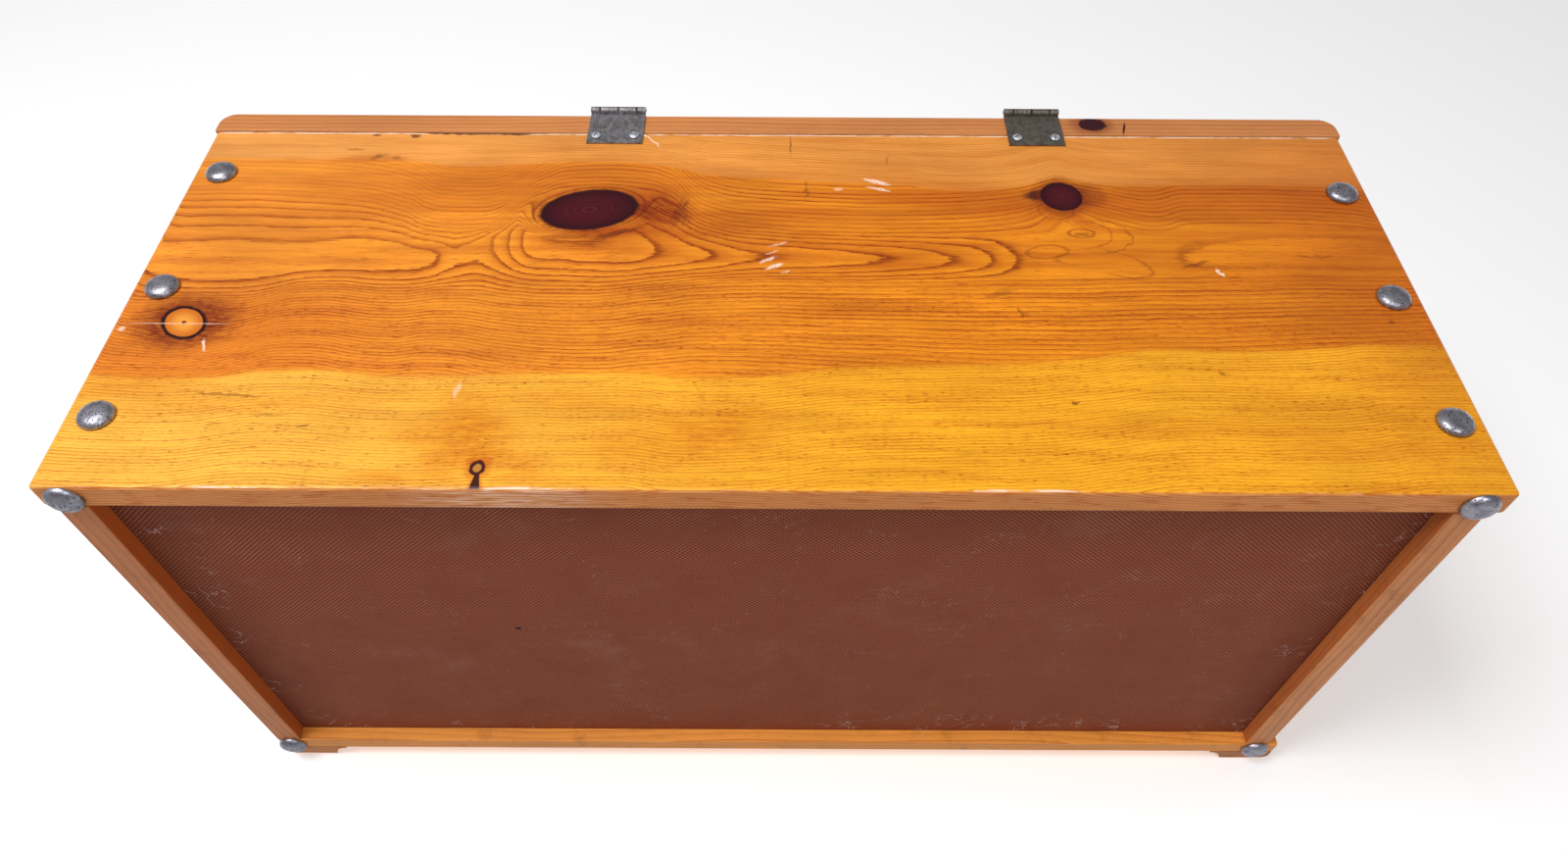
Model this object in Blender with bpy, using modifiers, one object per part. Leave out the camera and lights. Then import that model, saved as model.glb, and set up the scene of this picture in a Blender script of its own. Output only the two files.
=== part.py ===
"""A pine toy box with a hinged lid, standing upright on its four steel glides.

Metres, +Z up, the front faces -Y and the back with the hinges faces +Y.
Left and right are those of someone who stands in front of the box: right is +X.
The origin is the middle of the bounding box, on the floor.
"""

import math

import bmesh
import bpy
from mathutils import Matrix, Quaternion, Vector

# Gaps: between two pieces that touch, around a nail or a pin in its hole, and around the panel in its grooves.
JOINT_GAP = 0.0003
HOLE_CLEARANCE = 0.0003
GROOVE_CLEARANCE = 0.0003
# How far a cutter reaches past the face that it cuts.
CUTTER_REACH = 0.002

# The box of boards. The back board is the widest, and the two ends stand in from it by unequal amounts.
BOX_WIDTH = 0.813
CARCASE_DEPTH = 0.3695
BOARD_HEIGHT = 0.315
BACK_THICKNESS = 0.019
FRONT_THICKNESS = 0.0145
SIDE_THICKNESS = 0.018
RIGHT_SIDE_INSET = 0.0058
LEFT_SIDE_INSET = 0.009
RIGHT_FRONT_INSET = 0.006
LEFT_FRONT_INSET = 0.001
BOARD_EASE = 0.0008
BACK_EASE = 0.002

# The upright stile at each end of the front.
STILE_WIDTH = 0.05
STILE_THICKNESS = 0.0125
STILE_OUTER_RADIUS = 0.006
STILE_COVE_RADIUS = 0.011

# The hardboard bottom, up in grooves in the four boards.
PANEL_THICKNESS = 0.0032
PANEL_RECESS = 0.011
GROOVE_DEPTH = 0.005

# The lid. Its back is flush with the back board.
LID_THICKNESS = 0.02
LID_END_OVERHANG = 0.0025
LID_FRONT_OVERHANG = 0.0025
LID_ROUND = 0.0115

# The domed steel glides, which also nail the back board to the sides.
GLIDE_RADIUS = 0.0105
GLIDE_HEIGHT = 0.0055
GLIDE_RIM_RADIUS = 0.0021
GLIDE_CROWN_FLAT_RADIUS = 0.0022
NAIL_RADIUS = 0.0012
NAIL_LENGTH = 0.028
NAIL_POINT = 0.004

# Where they sit: in from the box's ends, up from the boards' bottom edges and down from the rim.
STUD_RIGHT_INSET = 0.019
STUD_LEFT_INSET = 0.018
STUD_LOW_HEIGHT = 0.049
STUD_HIGH_DROP_RIGHT = 0.049
STUD_HIGH_DROP_LEFT = 0.065
STUD_MIDDLE_DROP_RIGHT = 0.0045
STUD_MIDDLE_DROP_LEFT = 0.0005
FOOT_RIGHT_INSET = 0.016
FOOT_LEFT_INSET = 0.018
FOOT_BACK_INSET = 0.01
FOOT_FRONT_INSET = 0.0077

# The butt hinges.
LEAF_WIDTH = 0.04
LEAF_LENGTH = 0.0365
LEAF_THICKNESS = 0.0012
KNUCKLE_RADIUS = 0.0025
KNUCKLE_COUNT = 6
KNUCKLE_GAP = 0.0003
PIN_RADIUS = 0.0011
PIN_PROJECTION = 0.0005
HINGE_RIGHT_INSET = 0.289
HINGE_LEFT_INSET = 0.22
SCREW_SPACING = 0.0273
SCREW_FROM_LEAF_END = 0.0077

# The slotted hinge screws.
SCREW_HEAD_RADIUS = 0.0036
SCREW_HEAD_HEIGHT = 0.0018
SCREW_SHANK_RADIUS = 0.0015
SCREW_LENGTH = 0.014
SCREW_POINT = 0.003
SLOT_WIDTH = 0.0009
SLOT_DEPTH = 0.0009
SLOT_TURNS = {
    "hinge_right": (70, 5),
    "hinge_left": (35, 80),
}

# Worked out from the sizes above.
BACK_PROJECTION = JOINT_GAP + max(2 * KNUCKLE_RADIUS, GLIDE_HEIGHT)
TOTAL_DEPTH = LID_FRONT_OVERHANG + STILE_THICKNESS + JOINT_GAP + CARCASE_DEPTH + BACK_PROJECTION
BACK_Y = TOTAL_DEPTH / 2 - BACK_PROJECTION
BACK_INNER_Y = BACK_Y - BACK_THICKNESS
FRONT_Y = BACK_Y - CARCASE_DEPTH
FRONT_INNER_Y = FRONT_Y + FRONT_THICKNESS
BOARD_BOTTOM = GLIDE_HEIGHT + JOINT_GAP
RIM_Z = BOARD_BOTTOM + BOARD_HEIGHT
LID_BOTTOM = RIM_Z + JOINT_GAP
LID_TOP = LID_BOTTOM + LID_THICKNESS
HALF_WIDTH = BOX_WIDTH / 2
RIGHT_SIDE_X = HALF_WIDTH - RIGHT_SIDE_INSET
LEFT_SIDE_X = -HALF_WIDTH + LEFT_SIDE_INSET
RIGHT_INNER_X = RIGHT_SIDE_X - SIDE_THICKNESS
LEFT_INNER_X = LEFT_SIDE_X + SIDE_THICKNESS
FRONT_RIGHT_X = HALF_WIDTH - RIGHT_FRONT_INSET
FRONT_LEFT_X = -HALF_WIDTH + LEFT_FRONT_INSET
AXIS_Y = BACK_Y + JOINT_GAP + KNUCKLE_RADIUS
AXIS_Z = LID_TOP + JOINT_GAP + KNUCKLE_RADIUS

UP = Vector((0, 0, 1))
DOWN = Vector((0, 0, -1))
BACKWARD = Vector((0, 1, 0))

TURNED_STEPS = 28
DOME_STEPS = 3
RIM_STEPS = 6
CORNER_STEPS = 6
ROUND_STEPS = 7
KNUCKLE_STEPS = 22
SCREW_STEPS = 20
HOLE_SEGMENTS = 16
EASE_SEGMENTS = 2
EASE_ANGLE = math.radians(40)


def clear_scene():
    for obj in list(bpy.data.objects):
        bpy.data.objects.remove(obj)


def collection(name):
    made = bpy.data.collections.new(name)
    bpy.context.scene.collection.children.link(made)
    return made


def material(name, colour, roughness, metallic):
    made = bpy.data.materials.new(name)
    made.use_nodes = True
    shader = made.node_tree.nodes["Principled BSDF"]
    shader.inputs["Base Color"].default_value = (*colour, 1)
    shader.inputs["Roughness"].default_value = roughness
    shader.inputs["Metallic"].default_value = metallic
    made.diffuse_color = (*colour, 1)
    return made


clear_scene()
PARTS = collection("toy_box")
CUTTERS = collection("cutters")
PINE = material("pine", (0.72, 0.34, 0.08), 0.42, 0)
HARDBOARD = material("hardboard", (0.13, 0.055, 0.032), 0.8, 0)
HINGE_STEEL = material("hinge_steel", (0.17, 0.15, 0.16), 0.55, 0.7)
PIN_STEEL = material("pin_steel", (0.25, 0.22, 0.22), 0.45, 0.9)
SCREW_ZINC = material("screw_zinc", (0.42, 0.46, 0.54), 0.35, 0.9)
GLIDE_STEEL = material("glide_steel", (0.4, 0.39, 0.41), 0.32, 0.9)


def add_part(name, data, surface, location=(0, 0, 0), parent=None):
    obj = bpy.data.objects.new(name, data)
    if not data.materials:
        data.materials.append(surface)
    PARTS.objects.link(obj)
    obj.location = location
    if parent:
        obj.parent = parent
        obj.location = Vector(location) - parent.location
    return obj


def add_cutter(name, data):
    obj = bpy.data.objects.new(name, data)
    obj.hide_render = True
    obj.display_type = "WIRE"
    CUTTERS.objects.link(obj)
    return obj


def cut(target, cutter):
    step = target.modifiers.new(cutter.name, "BOOLEAN")
    step.operation = "DIFFERENCE"
    step.solver = "EXACT"
    step.object = cutter


def ease_edges(target, width):
    step = target.modifiers.new("ease", "BEVEL")
    step.width = width
    step.segments = EASE_SEGMENTS
    step.limit_method = "ANGLE"
    step.angle_limit = EASE_ANGLE


def block_mesh(name, size):
    shape = bmesh.new()
    bmesh.ops.create_cube(shape, size=1)
    bmesh.ops.scale(shape, vec=size, verts=shape.verts)
    mesh = bpy.data.meshes.new(name)
    shape.to_mesh(mesh)
    shape.free()
    return mesh


def block(name, low, high, surface, parent=None):
    """A board or sheet between two opposite corners, with its origin at its middle."""
    low = Vector(low)
    high = Vector(high)
    return add_part(name, block_mesh(name, high - low), surface, (low + high) / 2, parent)


def block_cutter(name, low, high):
    low = Vector(low)
    high = Vector(high)
    cutter = add_cutter(name, block_mesh(name, high - low))
    cutter.location = (low + high) / 2
    return cutter


def drill(target, name, holes):
    """Cuts round holes, each given as (point on the face, direction out of the wood, radius, depth)."""
    shape = bmesh.new()
    for face_point, outward, radius, depth in holes:
        middle = face_point + outward * (CUTTER_REACH - depth) / 2
        place = Matrix.Translation(middle) @ outward.to_track_quat("Z", "Y").to_matrix().to_4x4()
        bmesh.ops.create_cone(
            shape,
            cap_ends=True,
            segments=HOLE_SEGMENTS,
            radius1=radius,
            radius2=radius,
            depth=depth + CUTTER_REACH,
            matrix=place,
        )
    mesh = bpy.data.meshes.new(name)
    shape.to_mesh(mesh)
    shape.free()
    cut(target, add_cutter(name, mesh))


def arc(middle, radius, first, last, steps):
    """Points along an arc, by angles in degrees, both ends included."""
    points = []
    for i in range(steps + 1):
        angle = math.radians(first + (last - first) * i / steps)
        points.append((middle[0] + radius * math.cos(angle), middle[1] + radius * math.sin(angle)))
    return points


def flat_curve(name, outlines, thickness):
    """A flat curve of closed outlines, the later ones holes in the first, of this thickness about its plane."""
    curve = bpy.data.curves.new(name, "CURVE")
    curve.dimensions = "2D"
    curve.fill_mode = "BOTH"
    curve.extrude = thickness / 2
    for outline in outlines:
        spline = curve.splines.new("POLY")
        spline.points.add(len(outline) - 1)
        for point, (x, y) in zip(spline.points, outline):
            point.co = (x, y, 0, 1)
        spline.use_cyclic_u = True
    return curve


def baked(obj):
    """The mesh of an object with its modifiers, cleaned of double points."""
    bpy.context.view_layer.update()
    graph = bpy.context.evaluated_depsgraph_get()
    mesh = bpy.data.meshes.new_from_object(obj.evaluated_get(graph))
    shape = bmesh.new()
    shape.from_mesh(mesh)
    bmesh.ops.remove_doubles(shape, verts=shape.verts, dist=1e-6)
    shape.to_mesh(mesh)
    shape.free()
    return mesh


def profile_mesh(name, profile):
    mesh = bpy.data.meshes.new(name)
    points = [(radius, 0, height) for radius, height in profile]
    mesh.from_pydata(points, [(i, i + 1) for i in range(len(points) - 1)], [])
    return mesh


def turn(obj, steps):
    spin = obj.modifiers.new("turn", "SCREW")
    spin.axis = "Z"
    spin.steps = steps
    spin.render_steps = steps
    spin.use_merge_vertices = True
    spin.merge_threshold = 0.00001
    spin.use_smooth_shade = True


def facing(outward, turn_degrees=0):
    """The rotation that sends a turned piece's head to this direction, turned about its own axis."""
    return outward.to_track_quat("Z", "Y") @ Quaternion(UP, math.radians(turn_degrees))


# Boards

PANEL_BOTTOM = BOARD_BOTTOM + PANEL_RECESS
PANEL_LOW = (LEFT_INNER_X - GROOVE_DEPTH, FRONT_INNER_Y - GROOVE_DEPTH, PANEL_BOTTOM)
PANEL_HIGH = (
    RIGHT_INNER_X + GROOVE_DEPTH,
    BACK_INNER_Y + GROOVE_DEPTH,
    PANEL_BOTTOM + PANEL_THICKNESS,
)


def foot_places():
    """Where the middle of each of the four feet sits on the boards' bottom edges, by name."""
    back_y = BACK_Y - FOOT_BACK_INSET
    front_y = FRONT_Y + FOOT_FRONT_INSET
    right_x = HALF_WIDTH - FOOT_RIGHT_INSET
    left_x = -HALF_WIDTH + FOOT_LEFT_INSET
    return {
        "foot_back_right": Vector((right_x, back_y, BOARD_BOTTOM)),
        "foot_back_left": Vector((left_x, back_y, BOARD_BOTTOM)),
        "foot_front_right": Vector((right_x, front_y, BOARD_BOTTOM)),
        "foot_front_left": Vector((left_x, front_y, BOARD_BOTTOM)),
    }


def back_stud_places():
    """Where each domed stud sits on the back board's outer face, by name, counted from the bottom."""
    places = {}
    columns = (
        ("right", HALF_WIDTH - STUD_RIGHT_INSET, STUD_HIGH_DROP_RIGHT, STUD_MIDDLE_DROP_RIGHT),
        ("left", -HALF_WIDTH + STUD_LEFT_INSET, STUD_HIGH_DROP_LEFT, STUD_MIDDLE_DROP_LEFT),
    )
    for side, x, high_drop, middle_drop in columns:
        low_z = BOARD_BOTTOM + STUD_LOW_HEIGHT
        high_z = RIM_Z - high_drop
        middle_z = (low_z + high_z) / 2 - middle_drop
        for level, z in (("low", low_z), ("middle", middle_z), ("high", high_z)):
            places[f"back_stud_{side}_{level}"] = Vector((x, BACK_Y, z))
    return places


def hinge_screw_places(hinge_x):
    """For one hinge, the two screws' points on the back board's face and the two on the lid's top."""
    reach = LEAF_LENGTH - SCREW_FROM_LEAF_END
    xs = (hinge_x + SCREW_SPACING / 2, hinge_x - SCREW_SPACING / 2)
    on_back = [Vector((x, BACK_Y, AXIS_Z - reach)) for x in xs]
    on_lid = [Vector((x, AXIS_Y - reach, LID_TOP)) for x in xs]
    return on_back, on_lid


HINGES = {
    "hinge_right": HALF_WIDTH - HINGE_RIGHT_INSET,
    "hinge_left": -HALF_WIDTH + HINGE_LEFT_INSET,
}
NAIL_HOLE = (NAIL_RADIUS + HOLE_CLEARANCE, NAIL_LENGTH + HOLE_CLEARANCE)
SCREW_HOLE = (SCREW_SHANK_RADIUS + HOLE_CLEARANCE, SCREW_LENGTH + HOLE_CLEARANCE)


def make_boards():
    """The four boards, the two stiles and the bottom panel."""
    groove_margin = Vector((GROOVE_CLEARANCE, GROOVE_CLEARANCE, GROOVE_CLEARANCE))
    groove = block_cutter(
        "panel_groove_cutter", Vector(PANEL_LOW) - groove_margin, Vector(PANEL_HIGH) + groove_margin
    )
    block("bottom_panel", PANEL_LOW, PANEL_HIGH, HARDBOARD)

    side_front_y = FRONT_INNER_Y + JOINT_GAP
    side_back_y = BACK_INNER_Y - JOINT_GAP
    back = block(
        "back_board", (-HALF_WIDTH, BACK_INNER_Y, BOARD_BOTTOM), (HALF_WIDTH, BACK_Y, RIM_Z), PINE
    )
    front = block(
        "front_board",
        (FRONT_LEFT_X, FRONT_Y, BOARD_BOTTOM),
        (FRONT_RIGHT_X, FRONT_INNER_Y, RIM_Z),
        PINE,
    )
    right = block(
        "side_board_right",
        (RIGHT_INNER_X, side_front_y, BOARD_BOTTOM),
        (RIGHT_SIDE_X, side_back_y, RIM_Z),
        PINE,
    )
    left = block(
        "side_board_left",
        (LEFT_SIDE_X, side_front_y, BOARD_BOTTOM),
        (LEFT_INNER_X, side_back_y, RIM_Z),
        PINE,
    )
    ease_edges(back, BACK_EASE)
    for board in (front, right, left):
        ease_edges(board, BOARD_EASE)
    for board in (back, front, right, left):
        cut(board, groove)

    feet = foot_places()
    studs = back_stud_places()
    back_holes = [(point, BACKWARD, *NAIL_HOLE) for point in studs.values()]
    back_holes += [(feet[name], DOWN, *NAIL_HOLE) for name in ("foot_back_right", "foot_back_left")]
    for hinge_x in HINGES.values():
        on_back, _ = hinge_screw_places(hinge_x)
        back_holes += [(point, BACKWARD, *SCREW_HOLE) for point in on_back]
    drill(back, "back_board_drill", back_holes)
    front_feet = ("foot_front_right", "foot_front_left")
    drill(front, "front_board_drill", [(feet[name], DOWN, *NAIL_HOLE) for name in front_feet])
    for board, side in ((right, "right"), (left, "left")):
        side_studs = [point for name, point in studs.items() if side in name]
        holes = [(point, BACKWARD, *NAIL_HOLE) for point in side_studs]
        drill(board, f"side_{side}_drill", holes)


def stile_outline(outer_x, inward):
    """The stile's section: a rounded outer corner, and a cove down to the front board on its inner edge.

    inward is -1 where the box lies towards -X from the outer edge, and 1 where it lies towards +X.
    """
    outline = [(0, 0)]
    outer_middle = (STILE_OUTER_RADIUS, STILE_THICKNESS - STILE_OUTER_RADIUS)
    outline += arc(outer_middle, STILE_OUTER_RADIUS, 180, 90, CORNER_STEPS)
    outline += arc((STILE_WIDTH, STILE_THICKNESS), STILE_COVE_RADIUS, 180, 270, CORNER_STEPS)
    outline += [(STILE_WIDTH, 0)]
    return [(outer_x + inward * x, FRONT_Y - JOINT_GAP - y) for x, y in outline]


def make_stiles():
    ends = (("front_stile_right", FRONT_RIGHT_X, -1), ("front_stile_left", FRONT_LEFT_X, 1))
    for name, outer_x, inward in ends:
        curve = flat_curve(name, [stile_outline(outer_x, inward)], BOARD_HEIGHT)
        add_part(name, curve, PINE, (0, 0, BOARD_BOTTOM + BOARD_HEIGHT / 2))


def is_rounded(edge, size):
    """Whether this edge of the lid's block is a top edge at the front or at an end."""
    first, second = (vert.co for vert in edge.verts)
    middle = (first + second) / 2
    on_top = middle.z > size.z / 4
    at_front = middle.y < -size.y / 4
    at_end = abs(middle.x) > size.x / 4
    return on_top and (at_front or at_end)


def make_lid(pivot):
    """The lid board, rounded over along its front and its two ends."""
    front_y = FRONT_Y - JOINT_GAP - STILE_THICKNESS - LID_FRONT_OVERHANG
    half = HALF_WIDTH + LID_END_OVERHANG
    size = Vector((2 * half, BACK_Y - front_y, LID_THICKNESS))
    shape = bmesh.new()
    bmesh.ops.create_cube(shape, size=1)
    bmesh.ops.scale(shape, vec=size, verts=shape.verts)
    rounded = [edge for edge in shape.edges if is_rounded(edge, size)]
    bmesh.ops.bevel(
        shape, geom=rounded, offset=LID_ROUND, segments=ROUND_STEPS, profile=0.5, affect="EDGES"
    )
    mesh = bpy.data.meshes.new("lid_board")
    shape.to_mesh(mesh)
    shape.free()
    middle = Vector((0, (BACK_Y + front_y) / 2, (LID_BOTTOM + LID_TOP) / 2))
    lid = add_part("lid_board", mesh, PINE, middle, pivot)
    ease_edges(lid, BOARD_EASE)
    holes = []
    for hinge_x in HINGES.values():
        _, on_lid = hinge_screw_places(hinge_x)
        holes += [(point, UP, *SCREW_HOLE) for point in on_lid]
    drill(lid, "lid_drill", holes)


# Glides

def glide_profile():
    """Half the section of a domed glide with its nail, from the crown down, head above the plane z = 0.

    The crown's arc meets the rim's small arc with no kink, which gives its radius. Its middle is worn flat.
    """
    top = GLIDE_HEIGHT
    rim = GLIDE_RIM_RADIUS
    rim_middle = (GLIDE_RADIUS - rim, rim)
    rise = top - rim
    dome_radius = (rim_middle[0] ** 2 + rise**2 - rim**2) / (2 * (rise - rim))
    meeting_angle = math.degrees(math.acos(rim_middle[0] / (dome_radius - rim)))
    flat_angle = 90 - 2 * math.degrees(math.asin(GLIDE_CROWN_FLAT_RADIUS / dome_radius))
    points = [(0, top), (GLIDE_CROWN_FLAT_RADIUS, top)]
    points += arc((0, top - dome_radius), dome_radius, flat_angle, meeting_angle, DOME_STEPS)
    points += arc(rim_middle, rim, meeting_angle, -90, RIM_STEPS)[1:]
    points += [
        (NAIL_RADIUS, 0),
        (NAIL_RADIUS, -NAIL_LENGTH + NAIL_POINT),
        (0, -NAIL_LENGTH),
    ]
    return points


def make_glides():
    """The four feet and the six studs on the back, all of one pattern."""
    mesh = profile_mesh("glide", glide_profile())
    for name, face_point in foot_places().items():
        glide = add_part(name, mesh, GLIDE_STEEL, face_point + DOWN * JOINT_GAP)
        glide.rotation_mode = "QUATERNION"
        glide.rotation_quaternion = facing(DOWN)
        turn(glide, TURNED_STEPS)
    for name, face_point in back_stud_places().items():
        stud = add_part(name, mesh, GLIDE_STEEL, face_point + BACKWARD * JOINT_GAP)
        stud.rotation_mode = "QUATERNION"
        stud.rotation_quaternion = facing(BACKWARD)
        turn(stud, TURNED_STEPS)


# Hinges

def leaf_outline():
    """A leaf's section across the pin, with the pin at the origin and the leaf hanging down on the -X side."""
    radius = KNUCKLE_RADIUS
    inner_x = -radius + LEAF_THICKNESS
    meeting_angle = -180 + math.degrees(math.acos(-inner_x / radius))
    outline = [(-radius, -LEAF_LENGTH), (inner_x, -LEAF_LENGTH)]
    outline += arc((0, 0), radius, meeting_angle, 180, KNUCKLE_STEPS)
    return outline


def leaf_mesh():
    """One leaf with every second knuckle. The other leaf is the same one turned round."""
    bore = arc((0, 0), PIN_RADIUS + HOLE_CLEARANCE, 0, 360, KNUCKLE_STEPS)[1:]
    curve = flat_curve("leaf_section", [leaf_outline(), bore], LEAF_WIDTH)
    blank = add_cutter("leaf_blank", curve)
    plain = baked(blank)
    bpy.data.objects.remove(blank)
    leaf = add_cutter("leaf_cut", plain)

    pitch = LEAF_WIDTH / KNUCKLE_COUNT
    swing = KNUCKLE_RADIUS + KNUCKLE_GAP
    helpers = []
    for i in range(1, KNUCKLE_COUNT, 2):
        first = -LEAF_WIDTH / 2 + i * pitch - KNUCKLE_GAP / 2
        last = first + pitch + KNUCKLE_GAP
        if i == KNUCKLE_COUNT - 1:
            last += CUTTER_REACH
        helpers.append(block_cutter(f"knuckle_gap_{i}", (-swing, -swing, first), (swing, swing, last)))
    bpy.context.view_layer.update()
    for helper in helpers:
        cut(leaf, helper)

    shape = bmesh.new()
    for x in (-SCREW_SPACING / 2, SCREW_SPACING / 2):
        place = Matrix.Translation((-KNUCKLE_RADIUS, SCREW_FROM_LEAF_END - LEAF_LENGTH, x))
        bmesh.ops.create_cone(
            shape,
            cap_ends=True,
            segments=HOLE_SEGMENTS,
            radius1=SCREW_SHANK_RADIUS + HOLE_CLEARANCE,
            radius2=SCREW_SHANK_RADIUS + HOLE_CLEARANCE,
            depth=4 * LEAF_THICKNESS,
            matrix=place @ Matrix.Rotation(math.radians(90), 4, "Y"),
        )
    drilled = bpy.data.meshes.new("leaf_holes")
    shape.to_mesh(drilled)
    shape.free()
    holes = add_cutter("leaf_holes", drilled)
    cut(leaf, holes)
    mesh = baked(leaf)
    mesh.name = "hinge_leaf"
    mesh.shade_smooth()
    mesh.set_sharp_from_angle(angle=math.radians(30))
    for helper in (*helpers, holes, leaf):
        bpy.data.objects.remove(helper)
    return mesh


def screw_profile():
    """Half the section of a round-headed screw, from the head down, its head above the plane z = 0."""
    height = SCREW_HEAD_HEIGHT
    radius = SCREW_HEAD_RADIUS
    points = [(0, height)]
    for angle in (20, 38, 56, 74, 90):
        points.append(
            (radius * math.sin(math.radians(angle)), height * math.cos(math.radians(angle)))
        )
    points += [
        (SCREW_SHANK_RADIUS, 0),
        (SCREW_SHANK_RADIUS, -SCREW_LENGTH + SCREW_POINT),
        (0, -SCREW_LENGTH),
    ]
    return points


def make_screw(name, mesh, face_point, outward, slot_turn, parent=None):
    """A slotted screw through a leaf that lies on this face."""
    seat = face_point + outward * (2 * JOINT_GAP + LEAF_THICKNESS)
    screw = add_part(name, mesh, SCREW_ZINC, seat, parent)
    screw.rotation_mode = "QUATERNION"
    screw.rotation_quaternion = facing(outward, slot_turn)
    turn(screw, SCREW_STEPS)
    slot_size = (3 * SCREW_HEAD_RADIUS, SLOT_WIDTH, 2 * SLOT_DEPTH)
    slot = add_cutter(f"{name}_slot", block_mesh(f"{name}_slot", slot_size))
    slot.parent = screw
    slot.location = (0, 0, SCREW_HEAD_HEIGHT)
    cut(screw, slot)


# A leaf's own axes in the box: on the back board the leaf hangs down, and on the lid it points forward.
BACK_LEAF_AXES = Matrix(((0, 0, 1), (1, 0, 0), (0, 1, 0)))
LID_LEAF_AXES = Matrix(((0, 0, -1), (0, 1, 0), (1, 0, 0)))


def make_hinges(pivot):
    leaf = leaf_mesh()
    screw = profile_mesh("screw", screw_profile())
    for name, hinge_x in HINGES.items():
        axis_point = Vector((hinge_x, AXIS_Y, AXIS_Z))
        back_leaf = add_part(f"{name}_back_leaf", leaf, HINGE_STEEL, axis_point)
        back_leaf.rotation_euler = BACK_LEAF_AXES.to_euler()
        lid_leaf = add_part(f"{name}_lid_leaf", leaf, HINGE_STEEL, axis_point, pivot)
        lid_leaf.rotation_euler = LID_LEAF_AXES.to_euler()

        pin_length = LEAF_WIDTH + 2 * PIN_PROJECTION
        pin_mesh = profile_mesh(
            f"{name}_pin",
            [
                (0, pin_length / 2),
                (PIN_RADIUS, pin_length / 2),
                (PIN_RADIUS, -pin_length / 2),
                (0, -pin_length / 2),
            ],
        )
        pin = add_part(f"{name}_pin", pin_mesh, PIN_STEEL, axis_point)
        pin.rotation_euler = (0, math.radians(90), 0)
        turn(pin, SCREW_STEPS)

        on_back, on_lid = hinge_screw_places(hinge_x)
        for side, back_point, lid_point, slot_turn in zip(
            ("right", "left"), on_back, on_lid, SLOT_TURNS[name]
        ):
            make_screw(f"{name}_back_screw_{side}", screw, back_point, BACKWARD, slot_turn)
            make_screw(f"{name}_lid_screw_{side}", screw, lid_point, UP, slot_turn, pivot)


def make_pivot():
    """The empty on the hinge pins' line, which carries all that opens with the lid."""
    pivot = bpy.data.objects.new("lid_pivot", None)
    PARTS.objects.link(pivot)
    pivot.location = (0, AXIS_Y, AXIS_Z)
    return pivot


lid_pivot = make_pivot()
make_boards()
make_stiles()
make_lid(lid_pivot)
make_glides()
make_hinges(lid_pivot)
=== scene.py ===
"""Looks, camera, light and stage for the pine toy box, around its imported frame.

The box stands upright in the frame: +Z up, its front towards -Y. The photograph shows it lying on its front,
so the camera stands behind and below the upright box, and the table of the photograph is an upright sheet at
the box's front.
"""

import math

import bmesh
import bpy
from mathutils import Euler, Matrix, Vector


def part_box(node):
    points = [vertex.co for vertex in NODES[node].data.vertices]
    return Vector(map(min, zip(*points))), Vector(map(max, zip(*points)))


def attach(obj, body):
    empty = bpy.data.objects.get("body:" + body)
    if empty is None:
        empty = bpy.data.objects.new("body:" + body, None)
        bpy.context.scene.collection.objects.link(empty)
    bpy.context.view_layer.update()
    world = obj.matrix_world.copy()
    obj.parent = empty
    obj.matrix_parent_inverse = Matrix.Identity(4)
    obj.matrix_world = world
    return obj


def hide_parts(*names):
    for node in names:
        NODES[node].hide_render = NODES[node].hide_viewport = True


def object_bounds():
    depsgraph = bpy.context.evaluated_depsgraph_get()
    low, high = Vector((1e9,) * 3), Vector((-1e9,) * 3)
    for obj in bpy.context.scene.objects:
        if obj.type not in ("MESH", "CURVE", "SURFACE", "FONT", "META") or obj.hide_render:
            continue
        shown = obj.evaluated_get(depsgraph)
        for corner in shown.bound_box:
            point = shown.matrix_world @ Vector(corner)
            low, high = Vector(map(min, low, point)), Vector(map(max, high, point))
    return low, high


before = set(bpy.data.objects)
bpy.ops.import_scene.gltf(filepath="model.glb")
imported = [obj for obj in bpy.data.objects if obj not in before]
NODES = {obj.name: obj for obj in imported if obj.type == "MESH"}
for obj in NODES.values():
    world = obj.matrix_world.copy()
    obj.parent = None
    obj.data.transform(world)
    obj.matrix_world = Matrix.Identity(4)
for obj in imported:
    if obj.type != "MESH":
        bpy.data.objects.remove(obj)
CAD_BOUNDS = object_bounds()
MM = 0.001
PER_METRE = 1000

# Camera

IMAGE_WIDTH = 1600
FOCAL_PIXELS = 1084.45
SENSOR_WIDTH = 36
CAMERA_PLACE = (-0.00355, 0.66501, -0.32351)
CAMERA_RISE = 38.11
CAMERA_TILT = math.radians(90 + CAMERA_RISE)
CAMERA_TURN = math.radians(179.958)
CAMERA_ROLL = 0.0047
SHIFT_X = 2.2 / IMAGE_WIDTH
SHIFT_Y = 0.76 / IMAGE_WIDTH
CLIP_START = 0.01


def make_camera():
    lens = bpy.data.cameras.new("camera")
    lens.sensor_width = SENSOR_WIDTH
    lens.lens = FOCAL_PIXELS * SENSOR_WIDTH / IMAGE_WIDTH
    lens.shift_x = SHIFT_X
    lens.shift_y = SHIFT_Y
    lens.clip_start = CLIP_START
    camera = bpy.data.objects.new("camera", lens)
    turned = Euler((CAMERA_TILT, 0, CAMERA_TURN)).to_matrix() @ Matrix.Rotation(CAMERA_ROLL, 3, "Z")
    camera.matrix_world = Matrix.Translation(CAMERA_PLACE) @ turned.to_4x4()
    bpy.context.scene.collection.objects.link(camera)
    bpy.context.scene.camera = camera


# Node helpers


def linear(red, green, blue):
    """The linear colour of a screen colour given as 0 to 255."""
    shares = (red / 255, green / 255, blue / 255)
    channels = [s / 12.92 if s <= 0.04045 else ((s + 0.055) / 1.055) ** 2.4 for s in shares]
    return (*channels, 1)


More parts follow.
